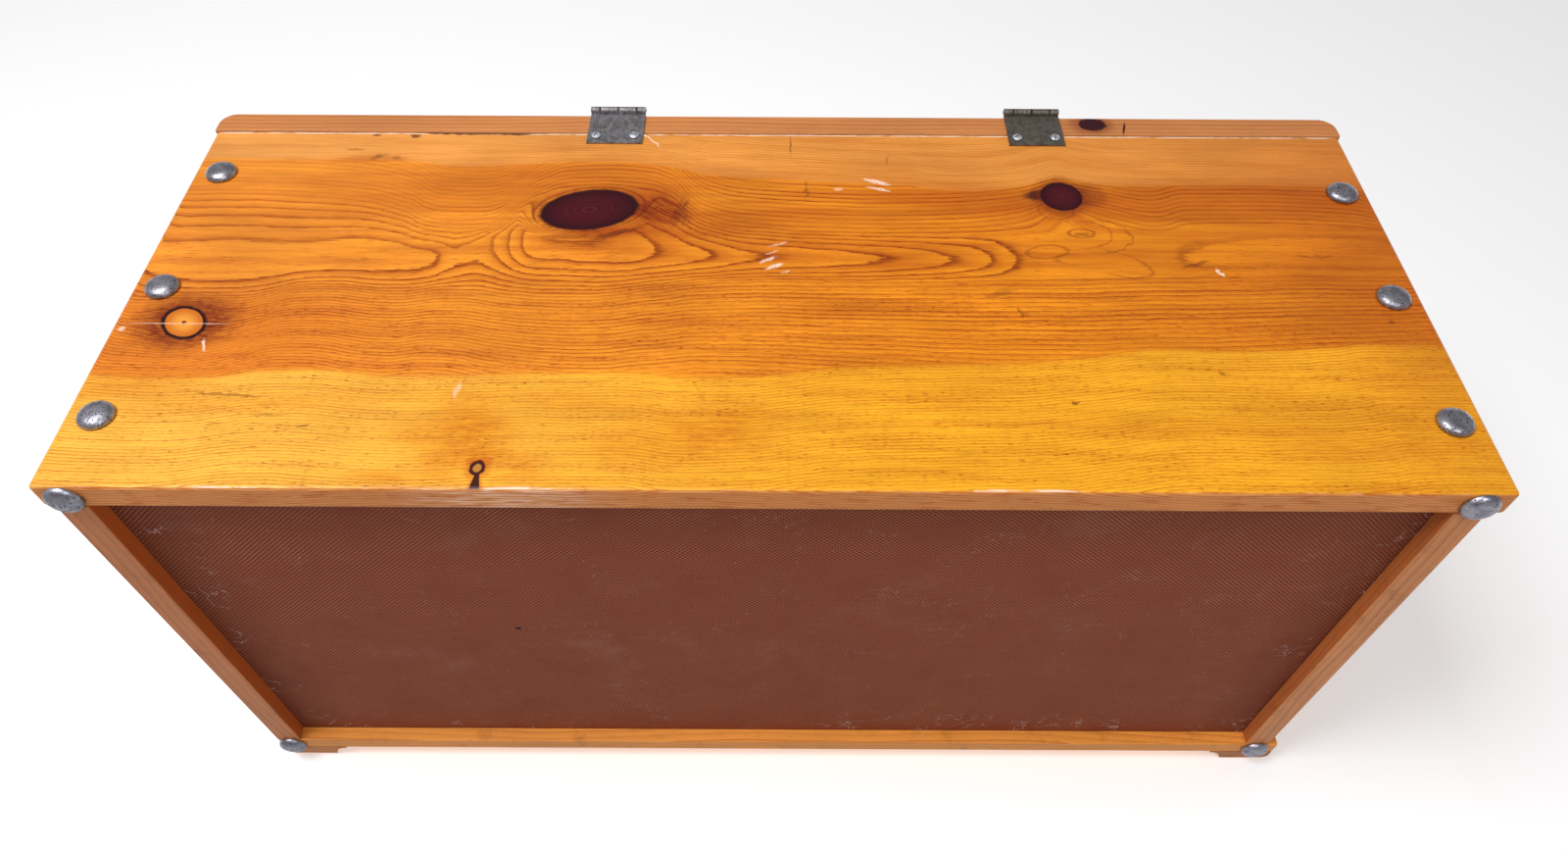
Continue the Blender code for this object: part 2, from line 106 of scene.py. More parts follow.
class Field:
    """A value that varies over a surface: one output socket of a material's nodes."""

    def __init__(self, surface, socket):
        self.surface = surface
        self.socket = socket

    def __add__(self, other):
        return self.surface.compute("ADD", self, other)

    def __radd__(self, other):
        return self.surface.compute("ADD", other, self)

    def __sub__(self, other):
        return self.surface.compute("SUBTRACT", self, other)

    def __rsub__(self, other):
        return self.surface.compute("SUBTRACT", other, self)

    def __mul__(self, other):
        return self.surface.compute("MULTIPLY", self, other)

    def __rmul__(self, other):
        return self.surface.compute("MULTIPLY", other, self)

    def __truediv__(self, other):
        return self.surface.compute("DIVIDE", self, other)

    def __pow__(self, other):
        return self.surface.compute("POWER", self, other)

    def __abs__(self):
        return self.surface.compute("ABSOLUTE", self)


class Surface:
    """A material in the making, with short names for its nodes. Its x, y and z are in millimetres."""

    def __init__(self, name):
        self.material = bpy.data.materials.new(name)
        self.material.use_nodes = True
        self.tree = self.material.node_tree
        self.shader = self.tree.nodes["Principled BSDF"]
        coordinates = self.tree.nodes.new("ShaderNodeTexCoord")
        self.place = Field(self, coordinates.outputs["Object"])
        parts = self.node("ShaderNodeSeparateXYZ", Vector=self.scaled(self.place, PER_METRE))
        self.x = Field(self, parts.outputs["X"])
        self.y = Field(self, parts.outputs["Y"])
        self.z = Field(self, parts.outputs["Z"])

    def put(self, socket, value):
        """Gives an input socket a field, a number or a colour."""
        if isinstance(value, Field):
            self.tree.links.new(value.socket, socket)
        else:
            socket.default_value = value

    def node(self, kind, **inputs):
        made = self.tree.nodes.new(kind)
        for name, value in inputs.items():
            self.put(made.inputs[name.replace("_", " ")], value)
        return made

    def compute(self, operation, *values):
        made = self.tree.nodes.new("ShaderNodeMath")
        made.operation = operation
        for socket, value in zip(made.inputs, values):
            self.put(socket, value)
        return Field(self, made.outputs[0])

    def step(self, value, low, high):
        """Rises smoothly from 0 at low to 1 at high, or falls where low is over high."""
        made = self.node("ShaderNodeMapRange", Value=value, From_Min=low, From_Max=high)
        made.interpolation_type = "SMOOTHSTEP"
        return Field(self, made.outputs[0])

    def rise(self, value, low, high, first=0.0, last=1.0):
        """Goes straight from first at low to last at high, and stays level outside."""
        made = self.node(
            "ShaderNodeMapRange", Value=value, From_Min=low, From_Max=high, To_Min=first, To_Max=last
        )
        return Field(self, made.outputs[0])

    def mix(self, share, first, second):
        """The colour between first and second."""
        made = self.tree.nodes.new("ShaderNodeMix")
        made.data_type = "RGBA"
        self.put(made.inputs[0], share)
        self.put(made.inputs[6], first)
        self.put(made.inputs[7], second)
        return Field(self, made.outputs[2])

    def scaled(self, value, factor):
        """A colour or a place times a number."""
        made = self.tree.nodes.new("ShaderNodeVectorMath")
        made.operation = "SCALE"
        self.put(made.inputs[0], value if isinstance(value, Field) else value[:3])
        self.put(made.inputs["Scale"], factor)
        return Field(self, made.outputs[0])

    def at(self, x, y, z):
        """A place made of three fields or numbers."""
        return Field(self, self.node("ShaderNodeCombineXYZ", X=x, Y=y, Z=z).outputs[0])

    def noise(self, place, scale, detail=2.0, roughness=0.5):
        """Noise around 0.5, with scale blobs in each unit of the place."""
        made = self.node("ShaderNodeTexNoise", Vector=place, Scale=scale, Detail=detail, Roughness=roughness)
        return Field(self, made.outputs["Fac"])

    def chance(self, value):
        """A random number from 0 to 1 for each value."""
        made = self.tree.nodes.new("ShaderNodeTexWhiteNoise")
        made.noise_dimensions = "1D"
        self.put(made.inputs["W"], value)
        return Field(self, made.outputs["Value"])

    def cells(self, place, scale):
        """Distance to the nearest of scattered points, in cells."""
        made = self.node("ShaderNodeTexVoronoi", Vector=place, Scale=scale)
        return Field(self, made.outputs["Distance"])

    def curve(self, value, points):
        """A smooth curve through the points (value, result), level beyond its ends."""
        ordered = sorted(points)
        first, last = ordered[0][0], ordered[-1][0]
        low = min(point[1] for point in ordered)
        high = max(point[1] for point in ordered)
        made = self.node("ShaderNodeFloatCurve", Value=self.rise(value, first, last))
        line = made.mapping.curves[0]
        places = [((x - first) / (last - first), (y - low) / (high - low)) for x, y in ordered]
        line.points[0].location = places[0]
        line.points[-1].location = places[-1]
        for place in places[1:-1]:
            line.points.new(*place)
        made.mapping.update()
        return self.rise(Field(self, made.outputs[0]), 0, 1, low, high)

    def ellipse(self, place, centre_x, centre_z, half_x, half_z, tilt=0.0):
        """Distance from a centre in half axes, 1 on the ellipse, for a place (x, 0, z)."""
        made = self.node("ShaderNodeMapping", Vector=place)
        made.vector_type = "TEXTURE"
        made.inputs["Location"].default_value = (centre_x, 0, centre_z)
        made.inputs["Rotation"].default_value = (0, -math.radians(tilt), 0)
        made.inputs["Scale"].default_value = (half_x, 1, half_z)
        length = self.tree.nodes.new("ShaderNodeVectorMath")
        length.operation = "LENGTH"
        self.tree.links.new(made.outputs[0], length.inputs[0])
        return Field(self, length.outputs["Value"])

    def marked(self, colour, place, marks, mark_colour, ragged, softness):
        """The colour with soft-edged oval marks laid over it."""
        for centre_x, centre_z, half_x, half_z, tilt, strength in marks:
            away = self.ellipse(place, centre_x, centre_z, half_x, half_z, tilt) + ragged
            colour = self.mix(self.step(away, 1 + softness, 1 - softness) * strength, colour, mark_colour)
        return colour

    def finish(self, colour, roughness, height, specular, metallic=0.0):
        """The finished material, with a height field in metres for its fine relief."""
        relief = self.node("ShaderNodeBump", Height=height, Distance=1.0)
        self.put(self.shader.inputs["Base Color"], colour)
        self.put(self.shader.inputs["Roughness"], roughness)
        self.put(self.shader.inputs["Metallic"], metallic)
        self.put(self.shader.inputs["Specular IOR Level"], specular)
        self.tree.links.new(relief.outputs[0], self.shader.inputs["Normal"])
        return self.material


# Pine of the back board

TOP_GOLD = linear(230, 152, 68)
HEART_ORANGE = linear(240, 146, 26)
LOW_GOLD = linear(249, 176, 36)
PALE_GOLD = linear(252, 198, 88)
DEEP_ORANGE = linear(208, 104, 16)
HEART_LINE = linear(124, 40, 6)
GOLD_LINE = linear(188, 96, 10)
SHADED_HEART = linear(176, 78, 10)
RED_HALO = linear(112, 30, 6)
STAIN = linear(184, 82, 10)
PALE_END = linear(255, 214, 160)
EDGE_WOOD = linear(230, 152, 82)
BARE_WOOD = linear(226, 160, 92)
# Bark, dirt and cracks, and also the painted shade in the hinges' seams and the screws' slots.
BARK_DIRT_AND_SHADE = linear(64, 22, 10)
MARK_BROWN = linear(92, 34, 8)
TICK_BROWN = linear(134, 42, 4)
KNOT_PURPLE = linear(66, 4, 18)
KNOT_DARK = linear(30, 1, 9)
KNOT_RING = linear(100, 30, 30)
PLUG_GOLD = linear(226, 148, 56)
PLUG_BROWN = linear(196, 104, 26)
SCUFF_WHITE = linear(255, 226, 206)

# Places on the back board are in millimetres: x across the box, z above the boards' bottom.
BOARD_BOTTOM = 5.8
BACK_FACE = 189.5
KNOT_ONE = (127, 230.5, 33.5, 20.5)
KNOT_ONE_TILT = -10
KNOT_TWO = (-195, 246.5, 14.5, 15)
KNOT_TWO_TIP = (-182, 247.5, 12, 5)
KNOT_TWO_SHADE = (-214, 248, 12, 12)
KNOT_THREE = (364, 123.5, 15.4, 11.6)
KNOT_THREE_TILT = 42
KNOT_THREE_HALO = (363, 124, 19, 13.5)
KNOT_THREE_REACH = 4.0
SWIRL = (78, 230, 24, 19)
POCKET_HOLLOW = (164, 14.5, 4.5, 5)
POCKET_NECK_X = 163.4

# Heights along the board where the bands, the heart's loops and their ridge lie.
TOP_BOUNDARY = [(-406, 258), (-280, 258), (-250, 256), (-194, 254), (-140, 251), (-90, 257), (0, 263),
                (50, 268), (80, 277), (130, 281), (190, 277), (218, 276), (262, 282), (406, 283)]
UPPER_ENVELOPE = [(-406, 209), (-378, 218), (-280, 218), (-252, 211), (-220, 215), (-155, 210), (-50, 208),
                  (13, 212), (44, 220), (60, 232), (78, 252), (100, 258), (128, 259), (160, 250), (180, 230),
                  (200, 214), (218, 214), (250, 227), (300, 240), (350, 244), (406, 243)]
HEART_RIDGE = [(-406, 192), (-330, 190), (-268, 186), (-155, 184), (13, 186), (44, 187), (97, 193),
               (130, 203), (160, 207), (182, 203), (206, 189), (221, 184), (262, 188), (290, 186),
               (333, 181), (368, 181), (406, 190)]
LOWER_ENVELOPE = [(-406, 170), (-268, 168), (-155, 165), (-66, 162), (13, 162), (80, 154), (130, 148),
                  (170, 150), (206, 154), (240, 150), (290, 154), (316, 148), (346, 140), (370, 138),
                  (406, 142)]
LOW_BOUNDARY = [(-406, 111), (-360, 111), (-340, 108), (-290, 105), (-250, 106), (-190, 100), (-140, 94),
                (-80, 92), (-40, 90), (-10, 86), (20, 82), (50, 81), (87, 85), (130, 85), (215, 82),
                (287, 86), (350, 79), (406, 82)]

# How many rings are closed over each place of the ridge.
RIDGE_RINGS = [(-406, 1.45), (-330, 1.4), (-290, 1.2), (-268, 1.0), (-250, 0.55), (-170, 0.6), (-155, 1.0),
               (-139, 2.0), (-112, 3.0), (-66, 4.0), (-20, 4.6), (13, 5.0), (44, 6.0), (80, 7.0), (97, 7.6),
               (122, 7.85), (136, 7.9), (150, 7.85), (158, 7.7), (167, 7.0), (176, 6.0), (186, 5.0),
               (206, 4.2), (221, 5.0), (240, 5.3), (277, 5.5), (300, 5.4), (330, 5.45), (350, 5.55),
               (372, 5.5), (390, 5.3), (406, 5.2)]

# Ring spacings in each part of the board, and numbers that keep the rings of the parts apart.
TOP_SPACING = 2.7
UPPER_HEART_SPACING = 4.3
LOWER_HEART_SPACING = [(-406, 3.6), (-200, 4.0), (-60, 3.6), (60, 3.2), (200, 2.7), (300, 2.5), (406, 2.6)]
LOW_RINGS_PER_MM = 0.45
INWARD_SPACING = 2.4
KNOT_RINGS = 5.5
TOP_COUNT = 100
HEART_COUNT = 200
KNOT_COUNT = 208
LOW_COUNT = 300

# Marks are (x, z, half length, half height, tilt in degrees, strength).
SHADES = [(140, 264, 130, 16, 0, 0.45), (215, 240, 70, 14, 0, 0.35), (-130, 243, 70, 16, 4, 0.55),
          (-290, 242, 140, 18, -2, 0.6), (50, 218, 70, 16, -10, 0.45), (-400, 180, 60, 90, 0, 0.4),
          (84, 234, 22, 20, 0, 0.8), (112, 208, 28, 5, -4, 0.85), (285, 284, 22, 4, 0, 0.5),
          (330, 240, 90, 22, 0, 0.22), (-40, 200, 90, 26, 0, 0.25)]
STAINS = [(174, 50, 18, 12, 30, 0.7), (168, 36, 16, 13, 0, 0.7), (196, 38, 18, 9, 0, 0.5),
          (184, 20, 14, 14, 0, 0.6), (163, 22, 16, 6, 0, 0.8), (140, 14, 14, 10, 0, 0.5),
          (74, 31, 28, 12, 0, 0.55), (30, 36, 26, 13, 0, 0.65), (18, 52, 20, 8, 0, 0.55),
          (48, 44, 20, 5, 20, 0.6), (-60, 70, 60, 7, 6, 0.35), (300, 60, 80, 6, -3, 0.4),
          (120, 62, 50, 6, 4, 0.35), (-220, 46, 90, 5, 3, 0.35), (-330, 30, 60, 8, 0, 0.4),
          (216, 8, 16, 4, 0, 0.5), (384, 72, 44, 9, 0, 0.55), (-380, 60, 40, 40, 0, 0.35)]
DARK_MARKS = [(302, 294, 6, 0.9, 0, 0.45), (283, 286, 5, 1.8, -25, 0.5), (270, 285, 2.5, 2, 30, 0.35),
              (290, 311, 3.4, 1.3, 0, 0.8), (262, 310, 3.4, 1.8, 20, 0.8), (-141, 152, 10, 2.4, -20, 0.35),
              (-381, 129, 2.4, 1.2, 0, 0.6), (-265, 86, 2, 1.2, 0, 0.5), (-174, 63, 1.5, 1.3, 0, 0.7),
              (-9, 301, 0.8, 10, 0, 0.6), (-20, 252, 0.9, 9, 0, 0.45), (-77.5, 286, 0.5, 6, 15, 0.4),
              (-152, 136, 0.9, 5, -8, 0.5), (-272, 180, 9, 1.4, -20, 0.5), (-352, 188, 14, 1.0, 0, 0.35),
              (106, 207, 16, 2.4, -20, 0.7), (138, 203, 18, 1.8, 0, 0.35), (318, 66, 22, 0.8, 4, 0.5),
              (268, 43, 3, 0.9, -20, 0.6), (290, 51, 12, 1, -4, 0.35), (-203, 208, 5, 1.6, 0, 0.5)]
SPIKES = [(350, 181, 20, 1.6, 0, 0.3), (276, 180, 13, 1.3, 0, 0.25), (66, 230, 3.6, 14, 14, 0.75),
          (62, 221, 3.6, 6, 0, 0.6)]
SCUFFS = [(-69, 261, 8.5, 2.0, 20, 0.9), (-70, 253.5, 7.5, 1.3, 16, 0.8), (-41.5, 253, 3, 1.3, 0, 0.6),
          (-1, 197, 6, 1.0, -20, 0.5), (6, 182, 6, 1.3, -30, 0.8), (1, 176, 6, 1.6, -25, 0.9),
          (-6, 171, 3, 0.8, -20, 0.5), (3, 189, 4, 0.8, -30, 0.5), (-285.6, 172, 1.4, 3.9, -28, 1.0),
          (368, 122.6, 30, 0.4, 0, 0.6), (346, 105, 1.0, 5, -20, 0.9), (93, 309, 11.5, 0.6, 50, 1.0),
          (186, 70, 2, 6, 10, 0.4), (400, 118, 2.4, 1.8, 0, 0.7)]

# White wear on the edge at the bottom: (x, half length, share).
EDGE_WEAR = [(132, 34, 1.0), (288, 60, 0.6), (-135, 40, 0.9), (-300, 70, 0.1)]

# Loose arcs of growth rings are (x, z, half length, half height, tilt, shown side, strength), with side 0
# for arcs that go all round.
ARCS = [(-202.5, 209, 8.5, 4.2, 0, 0, 0.6), (-205, 208, 17, 13, 0, -1, 0.5),
        (-212, 206, 23, 16.5, 0, -1, 0.5), (-218, 181, 25, 11, 22, -1, 0.45),
        (-177, 191, 13.5, 6, -8, 0, 0.45), (-196, 184, 15, 5, 0, 1, 0.35), (-189, 232, 12, 9, 0, 0, 0.4)]


class BackPine(Surface):
    """The back board's pine: gold bands above and below an orange heart with loops and knots."""

    def __init__(self):
        super().__init__("pine_back_board")
        self.up = self.z - BOARD_BOTTOM
        self.inward = BACK_FACE - self.y
        self.spot = self.at(self.x, 0, self.up)
        self.ragged = (self.noise(self.spot, 0.16, 3, 0.6) - 0.5) * 0.5
        self.broad = self.noise(self.at(self.x * 0.35, 0, self.up), 0.03, 3, 0.55)
        self.grain = self.bent_grain()
        self.fibre = self.noise(self.at(self.x * 0.03, 0, self.grain * 1.1), 1.0, 4, 0.7)
        self.streaky = self.noise(self.at(self.x * 0.008, 0, self.grain * 0.16), 1.0, 3, 0.6)
        self.over_top = self.grain - self.curve(self.x, TOP_BOUNDARY)
        self.over_low = self.grain - self.curve(self.x, LOW_BOUNDARY)
        self.in_top = self.step(self.over_top, -2.0, 1.6)
        self.in_low = self.step(self.over_low, 2.5, -5.0)
        self.gold = self.compute("MAXIMUM", self.in_top, self.in_low)
        loops, outside = self.heart_rings()
        self.heart = self.step(loops, 0.0, 0.8)
        self.find_lines(self.all_rings(loops, outside))

    def drawn_in(self):
        """How far the lines that end in the second knot are drawn up towards it."""
        centre_x, centre_z, _, half_z = KNOT_TWO
        aside = (self.x - centre_x) / 20
        reach = self.rise(self.up, centre_z - half_z, centre_z + half_z, 20, 12)
        return reach * self.step(self.up, 198, centre_z - half_z) / (1 + aside * aside)

    def parted(self):
        """How far the grain is pushed aside by the third knot, so that its lines pass round it."""
        away = self.ellipse(self.spot, *KNOT_THREE)
        squared = self.compute("MAXIMUM", away * away, 1.0)
        fade = self.step(away, KNOT_THREE_REACH, 1.0)
        return (self.up - KNOT_THREE[1]) * fade / squared

    def bent_grain(self):
        """The height that a place would have on a board with straight rings."""
        sway = (self.noise(self.at(self.x, 0, self.up * 0.4), 0.014, 2, 0.5) - 0.5) * 3.6
        wobble = (self.noise(self.at(self.x * 0.5, 0, self.up * 1.2), 0.09, 3, 0.6) - 0.5) * 1.5
        return self.up + sway + wobble - self.drawn_in() - self.parted()

    def heart_rings(self):
        """The rings of the heart's closed loops, and how many open rings lie between a place and them."""
        ridge = self.curve(self.x, HEART_RIDGE)
        rise_above = self.curve(self.x, UPPER_ENVELOPE) - ridge
        fall_below = ridge - self.curve(self.x, LOWER_ENVELOPE)
        above = self.compute("MAXIMUM", (self.grain - ridge) / rise_above, 0.0)
        below = self.compute("MAXIMUM", (ridge - self.grain) / fall_below, 0.0)
        drop = above**1.75 + below ** self.rise(self.x, 100, 250, 2.2, 3.2)
        loops = self.curve(self.x, RIDGE_RINGS) * (1 - self.compute("MINIMUM", drop, 1.0))
        beyond_top = self.compute("MAXIMUM", above - 1, 0.0) * rise_above
        beyond_low = self.compute("MAXIMUM", below - 1, 0.0) * fall_below
        return loops, (beyond_top / UPPER_HEART_SPACING, beyond_low / self.curve(self.x, LOWER_HEART_SPACING))

    def all_rings(self, loops, outside):
        """The growth ring that a place lies in, as a number that rises across every ring."""
        torn = (self.noise(self.at(self.x * 0.06, 0, self.up * 0.9), 1.0, 2, 0.6) - 0.5) * 0.42
        rings = loops + torn * self.rise(self.heart, 0, 1, 0.45, 1) - outside[0] - outside[1] + HEART_COUNT
        near_one = self.ellipse(self.spot, *KNOT_ONE, KNOT_ONE_TILT)
        round_knot = near_one * -KNOT_RINGS - rings + KNOT_COUNT
        rings = rings + round_knot * self.step(near_one, 1.5, 1.08)
        in_top_band = self.over_top / TOP_SPACING + TOP_COUNT - rings
        rings = rings + in_top_band * self.step(self.over_top, -0.2, 0.2)
        in_low_band = self.over_low * LOW_RINGS_PER_MM + LOW_COUNT - rings
        rings = rings + in_low_band * self.step(self.over_low, 0.2, -0.2)
        return rings + self.inward / INWARD_SPACING

    def find_lines(self, rings):
        """The soft and the thin dark line at the end of each ring, and how bold each ring's lines are."""
        ring = self.compute("FLOOR", rings)
        within = rings - ring
        closing = self.step(within, 1.0, 0.95)
        worn_away = self.noise(self.at(self.x * 0.1, 0, self.grain * 0.8), 1.0, 2, 0.6)
        broken = self.rise(worn_away, 0.36, 0.62, 0.5, 1.1)
        self.soft_line = self.step(within, 0.1, 0.95) * closing
        self.thin_line = self.step(within, 0.66, 0.9) * closing * broken
        patch = self.rise(self.noise(self.at(self.x, 0, self.up * 5), 0.011, 2), 0.36, 0.6, 0.55, 1.0)
        by_chance = self.rise(self.chance(ring), 0, 1, 0.45, 1.0) * patch
        self.bold = self.compute("MAXIMUM", by_chance, self.heart * 0.9)

    def plain_wood(self):
        """The wood between the lines, with its bands, shades and stains, and painted shade towards its -X
        end.
        """
        base = self.mix(self.in_top, self.mix(self.in_low, HEART_ORANGE, LOW_GOLD), TOP_GOLD)
        base = self.mix(self.rise(self.streaky, 0.45, 0.7, 0, 0.4) * self.gold, base, GOLD_LINE)
        base = self.mix(self.rise(self.streaky, 0.4, 0.66, 0, 0.5) * (1 - self.gold), base, SHADED_HEART)
        base = self.mix(self.rise(self.x, -100, 350, 0, 0.05), base, PALE_END)
        base = self.mix(self.step(self.x, -50, 350) * self.in_low * 0.4, base, PALE_GOLD)
        # Painted shade: darker towards the board's -X end, where the light falls off, less so in the low
        # band.
        painted_end_shade = self.rise(self.x, -180, -400, 0, 0.3) * (1 - self.in_low * 0.7)
        base = self.mix(painted_end_shade, base, SHADED_HEART)
        base = self.marked(base, self.spot, SHADES, SHADED_HEART, self.ragged * 0.6, 0.6)
        light = self.rise(self.broad, 0.3, 0.7, 0.84, 1.12) * self.rise(self.fibre, 0.25, 0.75, 0.82, 1.12)
        base = self.scaled(base, light)
        warm_end = self.step(self.x, 180, 330) * self.step(self.up, 170, 130) * (1 - self.gold)
        base = self.mix(warm_end * 0.45, base, DEEP_ORANGE)
        mottle = self.noise(self.at(self.x * 0.06, 0, self.up * 0.3), 1.0, 4, 0.65)
        stain = self.mix(self.rise(mottle, 0.3, 0.72, 0.2, 1), LOW_GOLD, STAIN)
        return self.marked(base, self.spot, STAINS, stain, self.ragged, 0.9)

    def with_lines(self, colour):
        """The growth rings' lines, fainter in the gold bands and in three parts of the heart."""
        faint_top = self.step(self.up, 225, 262) * self.step(self.x, 150, 230)
        faint_loops = self.heart * self.rise(self.x, -225, -290, 0, 0.65)
        faint_oval = self.step(self.x, 130, 190) * self.step(self.up, 176, 190)
        shown = self.rise(self.gold, 0, 1, 1, 0.85) * (1 - faint_top * 0.5)
        shown = shown * (1 - faint_loops) * (1 - faint_oval * 0.35)
        soft_wood = self.mix(self.gold, SHADED_HEART, GOLD_LINE)
        thin_wood = self.mix(self.gold, HEART_LINE, GOLD_LINE)
        colour = self.mix(self.soft_line * self.bold * shown * 0.6, colour, soft_wood)
        return self.mix(self.thin_line * self.bold * shown * 0.9, colour, thin_wood)

    def with_pores(self, colour):
        """Short dark flecks and finer ticks along the grain."""
        flecks = self.noise(self.at(self.x * 0.08, 0, self.grain * 1.6), 1.0, 2, 0.6)
        patchy = self.rise(self.broad, 0.4, 0.56, 0.3, 1) * self.rise(self.in_low, 0, 1, 1, 0.55)
        fleck_zone = self.rise(self.up, 240, 175, 0.25, 1) * patchy
        colour = self.mix(self.step(flecks, 0.58, 0.67) * fleck_zone * 0.8, colour, HEART_LINE)
        ticks = self.noise(self.at(self.x * 0.2, 40, self.grain * 2.2), 1.0, 1)
        tick_zone = self.step(self.up, 170, 150) * self.rise(self.streaky, 0.42, 0.6, 0.25, 1)
        return self.mix(self.step(ticks, 0.61, 0.66) * tick_zone * 0.85, colour, TICK_BROWN)

    def with_loose_arcs(self, colour):
        """The small curled ring lines under the second knot."""
        for centre_x, centre_z, half_x, half_z, tilt, side, strength in ARCS:
            away = self.ellipse(self.spot, centre_x, centre_z, half_x, half_z, tilt)
            off_line = abs(away + self.ragged - 1) * half_z
            shown = self.step(side * (self.x - centre_x), -0.5 * half_x, 0.4 * half_x) if side else 1.0
            colour = self.mix(self.step(off_line, 1.1, 0.1) * (shown * strength * 0.9), colour, HEART_LINE)
        return colour

    def with_swept_fibres(self, colour):
        """Dark fibres swept away from the first knot, and the shades on both sides of the second."""
        over = self.up - 230
        swept = self.x * 0.42 - self.up * 0.62 + over * over * 0.006
        streaks = self.noise(self.at(swept, 0, self.x * 0.05), 1.0, 2, 0.5)
        in_swirl = self.step(self.ellipse(self.spot, *SWIRL) + self.ragged, 1.1, 0.4)
        colour = self.mix(in_swirl * self.rise(streaks, 0.42, 0.58, 0.15, 0.9), colour, RED_HALO)
        on_tip = self.step(self.ellipse(self.spot, *KNOT_TWO_TIP) + self.ragged, 1.4, 0.7)
        colour = self.mix(on_tip * 0.9, colour, KNOT_DARK)
        in_shade = self.step(self.ellipse(self.spot, *KNOT_TWO_SHADE) + self.ragged, 1.3, 0.7)
        return self.mix(in_shade * 0.4, colour, RED_HALO)

    def with_purple_knots(self, colour):
        """The two purple knots with their faint circles and red halos."""
        spokes = self.noise(self.at(self.x * 0.22, 0, self.up * 0.5), 1.0, 3, 0.65)
        for knot, tilt, reach in ((KNOT_ONE, KNOT_ONE_TILT, 1.3), (KNOT_TWO, 0, 1.7)):
            away = self.ellipse(self.spot, *knot, tilt) + self.ragged * 0.16
            halo = self.step(away + self.ragged * 0.5, reach, 0.92) * self.rise(spokes, 0.3, 0.7, 0.3, 0.9)
            colour = self.mix(halo, colour, RED_HALO)
            circles = self.step(self.noise(self.at(away * 12, 0, 0), 1.0, 1), 0.48, 0.66)
            inside = self.mix(self.step(away, 0.5, 1.05) * 0.8, KNOT_PURPLE, KNOT_DARK)
            inside = self.mix(circles * self.step(away, 0.85, 0.1) * 0.6, inside, KNOT_RING)
            colour = self.mix(self.step(away, 1.04, 0.94), colour, inside)
        return colour

    def with_round_knot(self, colour):
        """The round knot: a pale plug in a black ring, with a red halo."""
        away = self.ellipse(self.spot, *KNOT_THREE, KNOT_THREE_TILT) + self.ragged * 0.16
        rays = self.noise(self.at(self.x * 0.12, 0, self.up * 0.5), 1.0, 3, 0.7)
        halo = self.step(self.ellipse(self.spot, *KNOT_THREE_HALO) + self.ragged * 1.8, 2.3, 0.9)
        colour = self.mix(halo * self.rise(rays, 0.3, 0.6, 0.35, 1), colour, RED_HALO)
        colour = self.mix(self.step(away + self.ragged * 0.3, 1.16, 0.98), colour, KNOT_DARK)
        plug = self.mix(self.step(away, 0.2, 0.85), PLUG_GOLD, PLUG_BROWN)
        plug = self.mix(self.step(away, 0.14, 0.08), plug, RED_HALO)
        return self.mix(self.step(away, 0.92, 0.84), colour, plug)

    def with_bark_pocket(self, colour):
        """The bark pocket at the bottom edge: a ring on a neck."""
        aside = abs(self.x - POCKET_NECK_X + self.ragged * 2)
        neck = aside / self.rise(self.up, 0, 9, 3.0, 1.3) + self.step(self.up, 10, 12) * 3
        hollow = self.ellipse(self.spot, *POCKET_HOLLOW) + self.ragged * 1.3
        pocket = self.compute("MINIMUM", hollow, neck)
        colour = self.mix(self.step(pocket, 2.2, 1.0) * 0.6, colour, STAIN)
        colour = self.mix(self.step(pocket, 1.12, 0.95), colour, BARK_DIRT_AND_SHADE)
        return self.mix(self.step(hollow, 0.66, 0.45), colour, self.scaled(TOP_GOLD, 0.6))

    def with_marks(self, colour):
        """Torn fibres, the knots, dark marks and white scuffs, one over the other."""
        shaken_x = self.x + (self.noise(self.spot, 0.2, 2) - 0.5) * 7
        shaken_z = self.up + (self.noise(self.at(self.x, 90, self.up), 0.2, 2) - 0.5) * 5
        shaken = self.at(shaken_x, 0, shaken_z)
        spiked = self.marked(colour, shaken, SPIKES, MARK_BROWN, self.ragged, 0.5)
        strokes = self.noise(self.at(self.x * 0.7 + self.up * 0.22, 0, self.up * 0.06), 1.0, 2, 0.5)
        colour = self.mix(self.rise(strokes, 0.4, 0.6, 0.2, 1), colour, spiked)
        colour = self.with_swept_fibres(colour)
        colour = self.with_purple_knots(colour)
        colour = self.with_round_knot(colour)
        colour = self.with_bark_pocket(colour)
        colour = self.marked(colour, shaken, DARK_MARKS, MARK_BROWN, self.ragged * 1.2, 0.5)
        scraped = self.step(self.noise(self.at(self.x * 0.5, 0, self.up * 1.2), 1.0, 2), 0.36, 0.6)
        aside = self.at(shaken_x, 0, self.up)
        scuffed = self.marked(colour, aside, SCUFFS, SCUFF_WHITE, self.ragged * 1.2, 0.4)
        return self.mix(self.rise(scraped, 0, 1, 0.35, 1), colour, scuffed)

    def edge_wear(self):
        """How worn the bottom edge is at a place along it."""
        wear = 0.0
        for centre, reach, share in EDGE_WEAR:
            patch = self.step(abs(self.x - centre), reach, reach * 0.4) * share
            wear = self.compute("MAXIMUM", wear, patch)
        return wear

    def bottom_face(self):
        """The narrow face at the board's bottom, streaked and dirty."""
        dirt = self.step(self.noise(self.at(self.x * 0.05, self.inward * 0.2, 0), 1.0, 3, 0.7), 0.5, 0.66)
        streaks = self.noise(self.at(self.x * 0.03, self.inward * 0.8, 7), 1.0, 3, 0.7)
        light = self.rise(self.broad, 0.3, 0.7, 0.88, 1.1) * self.rise(streaks, 0.3, 0.7, 0.78, 1.1)
        edge = self.mix(self.soft_line * 0.5 + dirt * 0.4, self.scaled(EDGE_WOOD, light), STAIN)
        scraped = self.step(abs(self.x - 150), 70, 20) * self.step(streaks, 0.45, 0.62)
        return self.mix(scraped * 0.6, edge, SCUFF_WHITE)

